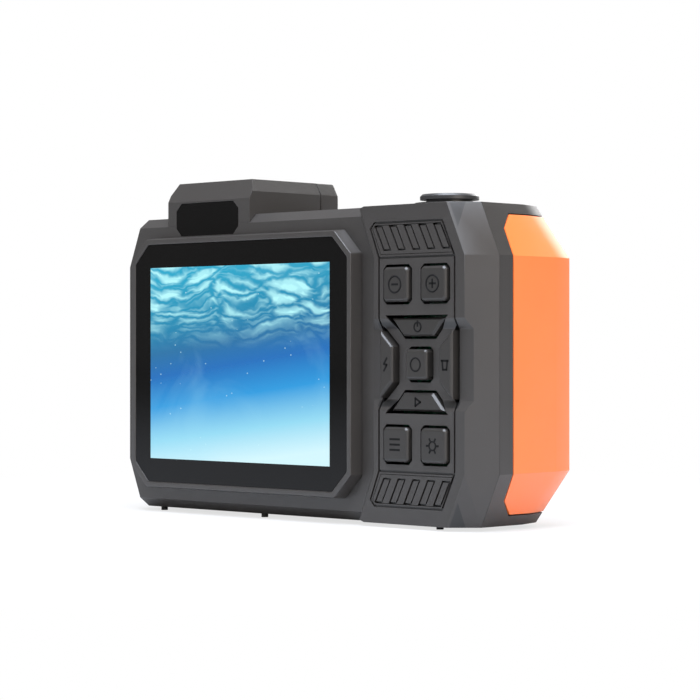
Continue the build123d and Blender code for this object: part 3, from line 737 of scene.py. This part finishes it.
for node, (lines, circle) in SIGNS.items():
    low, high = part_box(node)
    middle = Vector(((low[0] + high[0]) / 2, high[1], (low[2] + high[2]) / 2))
    bpy.ops.object.select_all(action="DESELECT")
    parts = [stroke(middle, *line) for line in lines]
    if circle:
        parts.append(ring_mark(middle, *circle))
    for part in parts:
        part.select_set(True)
    bpy.context.view_layer.objects.active = parts[0]
    if len(parts) > 1:
        bpy.ops.object.join()
    mark = bpy.context.object
    mark.name = node + "_mark"
    bpy.ops.object.transform_apply(location=True, rotation=True, scale=True)
    mark.data.materials.clear()
    mark.data.materials.append(MARK_COLOUR)
    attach(mark, BODY_OF[node])
print("signs", len(SIGNS))

# %% [markdown]
# ## The lit screen
#
# On a real camera the picture shines through the black glass. Here it is one thin lit panel set in the
# face of the glass. It shows an invented underwater view: bright ripples under the surface, blue water
# below them and a pale haze at the bottom. Its material reads Object coordinates, so it needs no image.

# %% The picture panel
glass_low, glass_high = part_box("screen_glass")
PICTURE_W, PICTURE_H = 57.6 * MM, 43.2 * MM
PICTURE_X = (glass_low[0] + glass_high[0]) / 2
PICTURE_Z = (glass_low[2] + glass_high[2]) / 2
PICTURE_Y = glass_high[1]


def picture_panel():
    bpy.ops.object.select_all(action="DESELECT")
    bpy.ops.mesh.primitive_cube_add(size=1.0, location=(PICTURE_X, PICTURE_Y, PICTURE_Z))
    panel = bpy.context.object
    panel.name = "screen_picture"
    panel.scale = (PICTURE_W, 0.00006, PICTURE_H)
    bpy.ops.object.transform_apply(location=True, rotation=True, scale=True)
    bpy.ops.object.mode_set(mode="EDIT")
    bpy.ops.mesh.select_all(action="SELECT")
    bpy.ops.mesh.bevel(offset=0.000012, segments=1)
    bpy.ops.object.mode_set(mode="OBJECT")
    return panel


# %% [markdown]
# The picture is built in layers: the colour of the depth, then ripples, bubbles and swirls over it.

# %% The picture
def picture_finish():
    """A lit underwater view: ripples above, open water, and haze below."""
    material = bpy.data.materials.new("lit_picture")
    material.use_nodes = True
    tree = material.node_tree
    links = tree.links
    shader = tree.nodes["Principled BSDF"]
    shader.inputs["Roughness"].default_value = 0.12
    shader.inputs["Emission Strength"].default_value = 0.9
    coords = tree.nodes.new("ShaderNodeTexCoord")
    place = tree.nodes.new("ShaderNodeMapping")
    place.vector_type = "POINT"
    place.inputs["Scale"].default_value = (1 / PICTURE_W, 1.0, 1 / PICTURE_H)
    place.inputs["Location"].default_value = (-PICTURE_X / PICTURE_W + 0.5, 0.0, -PICTURE_Z / PICTURE_H + 0.5)
    links.new(coords.outputs["Object"], place.inputs["Vector"])
    split = tree.nodes.new("ShaderNodeSeparateXYZ")
    links.new(place.outputs["Vector"], split.inputs["Vector"])

    depth = tree.nodes.new("ShaderNodeValToRGB")
    stops = [
        (0.0, (0.62, 0.88, 0.93)),
        (0.16, (0.28, 0.68, 0.86)),
        (0.34, (0.02, 0.32, 0.72)),
        (0.5, (0.012, 0.16, 0.5)),
        (0.62, (0.02, 0.17, 0.38)),
        (0.76, (0.012, 0.25, 0.44)),
        (1.0, (0.02, 0.38, 0.58)),
    ]
    ramp = depth.color_ramp
    while len(ramp.elements) < len(stops):
        ramp.elements.new(0.5)
    for element, (at, tint) in zip(ramp.elements, stops):
        element.position = at
        element.color = (*tint, 1.0)
    # The pale haze climbs towards the viewer's right, so the depth is read along a slanted line.
    slant = tree.nodes.new("ShaderNodeMath")
    slant.operation = "MULTIPLY_ADD"
    slant.inputs[1].default_value = 0.16
    links.new(split.outputs["X"], slant.inputs[0])
    links.new(split.outputs["Z"], slant.inputs[2])
    level = tree.nodes.new("ShaderNodeMath")
    level.operation = "SUBTRACT"
    level.inputs[1].default_value = 0.08
    links.new(slant.outputs[0], level.inputs[0])
    links.new(level.outputs[0], depth.inputs["Fac"])

    # Ripples: stretched cells seen from below, pale in the middle and dark along their edges. The cells
    # are warped by noise so that no two look alike, and they fade out below the surface.
    warp = tree.nodes.new("ShaderNodeTexNoise")
    warp.inputs["Scale"].default_value = 3.2
    warp.inputs["Detail"].default_value = 4.0
    links.new(place.outputs["Vector"], warp.inputs["Vector"])
    centred = tree.nodes.new("ShaderNodeVectorMath")
    centred.operation = "SUBTRACT"
    centred.inputs[1].default_value = (0.5, 0.5, 0.5)
    links.new(warp.outputs["Color"], centred.inputs[0])
    push = tree.nodes.new("ShaderNodeVectorMath")
    push.operation = "MULTIPLY_ADD"
    push.inputs[1].default_value = (0.42, 0.0, 0.26)
    links.new(centred.outputs["Vector"], push.inputs[0])
    links.new(place.outputs["Vector"], push.inputs[2])

    def cells(scale, turn, low, high):
        """Pale cell middles between dark edges, at one size and slant."""
        stretch = tree.nodes.new("ShaderNodeMapping")
        stretch.inputs["Scale"].default_value = scale
        stretch.inputs["Rotation"].default_value = (0.0, math.radians(turn), 0.0)
        links.new(push.outputs["Vector"], stretch.inputs["Vector"])
        cell = tree.nodes.new("ShaderNodeTexVoronoi")
        cell.feature = "DISTANCE_TO_EDGE"
        cell.inputs["Scale"].default_value = 1.0
        links.new(stretch.outputs["Vector"], cell.inputs["Vector"])
        pale = tree.nodes.new("ShaderNodeMapRange")
        pale.interpolation_type = "SMOOTHSTEP"
        pale.inputs["From Min"].default_value = low
        pale.inputs["From Max"].default_value = high
        links.new(cell.outputs["Distance"], pale.inputs["Value"])
        return pale.outputs["Result"]

    broad = cells((4.5, 1.0, 17.0), 8.0, 0.03, 0.34)
    small = cells((11.0, 1.0, 40.0), 12.0, 0.05, 0.40)
    crest = tree.nodes.new("ShaderNodeMath")
    crest.operation = "MULTIPLY_ADD"
    crest.inputs[1].default_value = 0.86
    links.new(broad, crest.inputs[0])
    spark = tree.nodes.new("ShaderNodeMath")
    spark.operation = "MULTIPLY"
    spark.inputs[1].default_value = 0.38
    links.new(small, spark.inputs[0])
    links.new(spark.outputs[0], crest.inputs[2])
    near_top = tree.nodes.new("ShaderNodeMapRange")
    near_top.interpolation_type = "SMOOTHSTEP"
    near_top.inputs["From Min"].default_value = 0.56
    near_top.inputs["From Max"].default_value = 0.82
    links.new(split.outputs["Z"], near_top.inputs["Value"])
    ripples = tree.nodes.new("ShaderNodeMath")
    ripples.operation = "MULTIPLY"
    links.new(crest.outputs[0], ripples.inputs[0])
    links.new(near_top.outputs["Result"], ripples.inputs[1])

    lit = tree.nodes.new("ShaderNodeMix")
    lit.data_type = "RGBA"
    lit.inputs["B"].default_value = (0.48, 0.95, 0.98, 1.0)
    links.new(ripples.outputs[0], lit.inputs["Factor"])
    links.new(depth.outputs["Color"], lit.inputs["A"])

    # A scatter of tiny faint bubbles.
    bubbles = tree.nodes.new("ShaderNodeTexVoronoi")
    bubbles.inputs["Scale"].default_value = 34.0
    links.new(place.outputs["Vector"], bubbles.inputs["Vector"])
    dot = tree.nodes.new("ShaderNodeMath")
    dot.operation = "LESS_THAN"
    dot.inputs[1].default_value = 0.13
    links.new(bubbles.outputs["Distance"], dot.inputs[0])
    rare = tree.nodes.new("ShaderNodeSeparateXYZ")
    links.new(bubbles.outputs["Color"], rare.inputs["Vector"])
    chosen = tree.nodes.new("ShaderNodeMath")
    chosen.operation = "GREATER_THAN"
    chosen.inputs[1].default_value = 0.86
    links.new(rare.outputs["X"], chosen.inputs[0])
    scatter = tree.nodes.new("ShaderNodeMath")
    scatter.operation = "MULTIPLY"
    links.new(dot.outputs[0], scatter.inputs[0])
    links.new(chosen.outputs[0], scatter.inputs[1])
    faint = tree.nodes.new("ShaderNodeMath")
    faint.operation = "MULTIPLY"
    faint.inputs[1].default_value = 0.5
    links.new(scatter.outputs[0], faint.inputs[0])
    bubbly = tree.nodes.new("ShaderNodeMix")
    bubbly.data_type = "RGBA"
    bubbly.inputs["B"].default_value = (0.6, 0.92, 0.98, 1.0)
    links.new(faint.outputs[0], bubbly.inputs["Factor"])
    links.new(lit.outputs["Result"], bubbly.inputs["A"])

    # Slow swirls of paler water.
    swirl = tree.nodes.new("ShaderNodeTexNoise")
    swirl.inputs["Scale"].default_value = 2.2
    swirl.inputs["Detail"].default_value = 4.0
    swirl.inputs["Distortion"].default_value = 0.8
    links.new(place.outputs["Vector"], swirl.inputs["Vector"])
    haze = tree.nodes.new("ShaderNodeMapRange")
    haze.inputs["From Min"].default_value = 0.5
    haze.inputs["From Max"].default_value = 0.9
    haze.inputs["To Max"].default_value = 0.3
    links.new(swirl.outputs["Fac"], haze.inputs["Value"])
    water = tree.nodes.new("ShaderNodeMix")
    water.data_type = "RGBA"
    water.inputs["B"].default_value = (0.35, 0.75, 0.90, 1.0)
    links.new(haze.outputs["Result"], water.inputs["Factor"])
    links.new(bubbly.outputs["Result"], water.inputs["A"])
    links.new(water.outputs["Result"], shader.inputs["Emission Color"])
    dim = tree.nodes.new("ShaderNodeMix")
    dim.data_type = "RGBA"
    dim.inputs["Factor"].default_value = 0.92
    dim.inputs["B"].default_value = (0.0, 0.0, 0.0, 1.0)
    links.new(water.outputs["Result"], dim.inputs["A"])
    links.new(dim.outputs["Result"], shader.inputs["Base Color"])
    return material


picture = picture_panel()
picture.data.materials.append(picture_finish())
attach(picture, "camera")
print("picture", PICTURE_W, "by", PICTURE_H)
